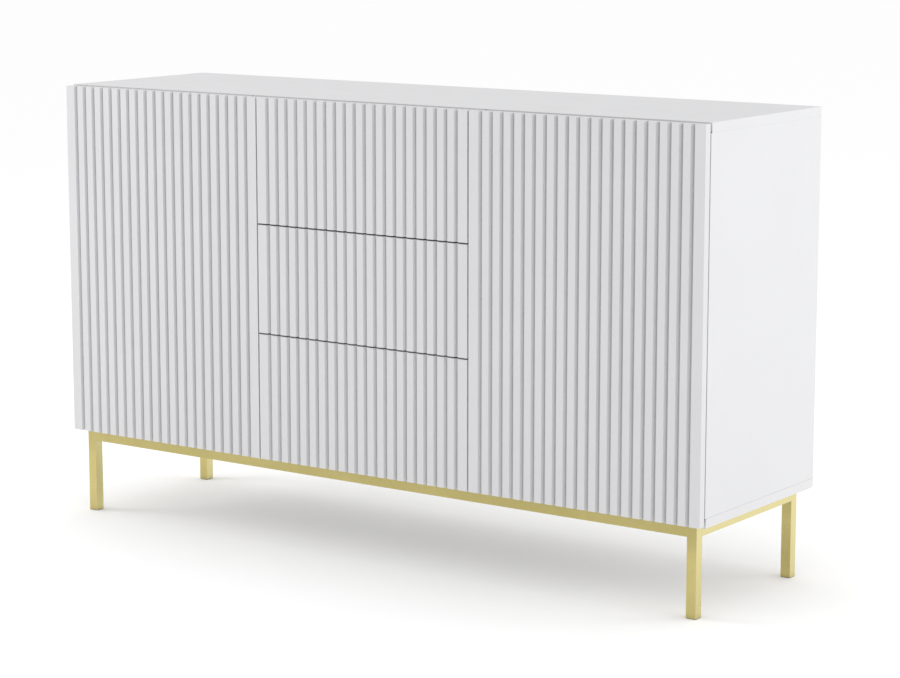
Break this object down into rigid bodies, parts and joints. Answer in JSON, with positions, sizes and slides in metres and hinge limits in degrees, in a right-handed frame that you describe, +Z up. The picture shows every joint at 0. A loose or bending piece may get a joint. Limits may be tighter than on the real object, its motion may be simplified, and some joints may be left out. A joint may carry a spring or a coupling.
{
  "type": "sideboard buffet",
  "caption": "Long white sideboard with fluted push-open fronts, a door each side of a drawer stack, on a slim square-tube metal base.",
  "frame": {"origin": "on the floor, in the middle of the footprint", "axes": "+X to the right seen from the front, along the length; +Y to the back; +Z up"},
  "size_m": [1.5, 0.425, 0.89],
  "materials": {
    "white_laminate": "white melamine laminate on chipboard, satin",
    "white_front": "white foil-wrapped fluted board, satin",
    "back_sheet": "white painted hardboard",
    "gold_frame": "brass-coloured powder coat on steel tube, semi-gloss",
    "zinc": "zinc-plated pressed steel",
    "nickel": "nickel-plated steel",
    "dark_plastic": "moulded black plastic",
    "pale_plastic": "moulded pale grey plastic"
  },
  "bodies": {
    "carcass": {"top_panel": "white_laminate", "bottom_panel": "white_laminate", "side_panel_left": "white_laminate", "side_panel_right": "white_laminate", "partition_left": "white_laminate", "partition_right": "white_laminate", "shelf_left": "white_laminate", "shelf_right": "white_laminate", "back_panel": "back_sheet", "leg_front_left": "gold_frame", "foot_plug_front_left": "dark_plastic", "leg_front_right": "gold_frame", "foot_plug_front_right": "dark_plastic", "rail_front": "gold_frame", "leg_rear_left": "gold_frame", "foot_plug_rear_left": "dark_plastic", "leg_rear_right": "gold_frame", "foot_plug_rear_right": "dark_plastic", "rail_rear": "gold_frame", "rail_left": "gold_frame", "rail_right": "gold_frame", "hinge_arm_left_lower": "nickel", "hinge_arm_left_upper": "nickel", "hinge_arm_right_lower": "nickel", "hinge_arm_right_upper": "nickel", "bottom_runner_left": "zinc", "bottom_runner_right": "zinc", "middle_runner_left": "zinc", "middle_runner_right": "zinc", "top_runner_left": "zinc", "top_runner_right": "zinc"},
    "door_left": {"door_left": "white_front", "hinge_cup_left_lower": "nickel", "hinge_cup_left_upper": "nickel"},
    "door_right": {"door_right": "white_front", "hinge_cup_right_lower": "nickel", "hinge_cup_right_upper": "nickel"},
    "bottom_drawer": {"bottom_drawer_front": "white_front", "bottom_drawer_side_left": "white_laminate", "bottom_slide_left": "zinc", "bottom_drawer_side_right": "white_laminate", "bottom_slide_right": "zinc", "bottom_drawer_back": "white_laminate", "bottom_drawer_bottom": "back_sheet"},
    "middle_drawer": {"middle_drawer_front": "white_front", "middle_drawer_side_left": "white_laminate", "middle_slide_left": "zinc", "middle_drawer_side_right": "white_laminate", "middle_slide_right": "zinc", "middle_drawer_back": "white_laminate", "middle_drawer_bottom": "back_sheet"},
    "top_drawer": {"top_drawer_front": "white_front", "top_drawer_side_left": "white_laminate", "top_slide_left": "zinc", "top_drawer_side_right": "white_laminate", "top_slide_right": "zinc", "top_drawer_back": "white_laminate", "top_drawer_bottom": "back_sheet"},
    "latch_left": {"latch_plunger_left": "pale_plastic"},
    "latch_right": {"latch_plunger_right": "pale_plastic"}
  },
  "joints": [
    {"name": "door_left_hinge", "type": "hinge", "parent": "carcass", "child": "door_left", "pos_m": [-0.7495, -0.195, 0.531], "axis": [0, 0, -1], "range_deg": [0, 100]},
    {"name": "door_right_hinge", "type": "hinge", "parent": "carcass", "child": "door_right", "pos_m": [0.7495, -0.195, 0.531], "axis": [0, 0, 1], "range_deg": [0, 100]},
    {"name": "bottom_drawer_slide", "type": "slide", "parent": "carcass", "child": "bottom_drawer", "axis": [0, -1, 0], "range_m": [0, 0.26]},
    {"name": "middle_drawer_slide", "type": "slide", "parent": "carcass", "child": "middle_drawer", "axis": [0, -1, 0], "range_m": [0, 0.26]},
    {"name": "top_drawer_slide", "type": "slide", "parent": "carcass", "child": "top_drawer", "axis": [0, -1, 0], "range_m": [0, 0.26]},
    {"name": "latch_left_press", "type": "slide", "parent": "carcass", "child": "latch_left", "axis": [0, 1, 0], "range_m": [0, 0.0025], "stiffness_N_per_m": 800},
    {"name": "latch_right_press", "type": "slide", "parent": "carcass", "child": "latch_right", "axis": [0, 1, 0], "range_m": [0, 0.0025], "stiffness_N_per_m": 800}
  ]
}
